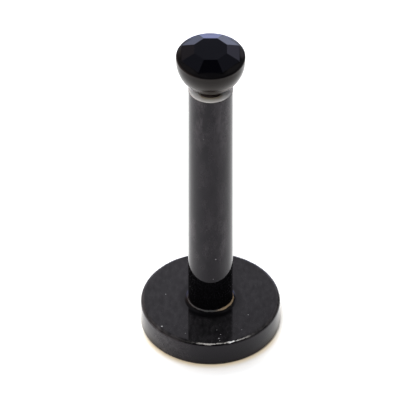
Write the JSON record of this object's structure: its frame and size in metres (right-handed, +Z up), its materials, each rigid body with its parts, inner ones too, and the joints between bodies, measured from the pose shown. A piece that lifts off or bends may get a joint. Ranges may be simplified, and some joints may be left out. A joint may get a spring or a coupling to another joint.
{
  "type": "labret stud",
  "caption": "Black labret stud: flat round back disc, straight post and a removable ball-shaped head set with a faceted black crystal.",
  "frame": {"origin": "centre of the disc's underside", "axes": "+Z runs up the post to the head; one crown facet of the crystal faces -Y, which is the front"},
  "size_m": [0.005, 0.005, 0.0128],
  "materials": {
    "black_coated_post": "glossy black vacuum coating on polished steel, bare at the end of the post and thin on the weld",
    "black_coated_cup": "glossy black vacuum coating on polished steel",
    "black_crystal": "opaque black faceted crystal, polished"
  },
  "bodies": {
    "root": {"post_and_disc": "black_coated_post", "ball_cup": "black_coated_cup", "crystal": "black_crystal"}
  },
  "joints": []
}
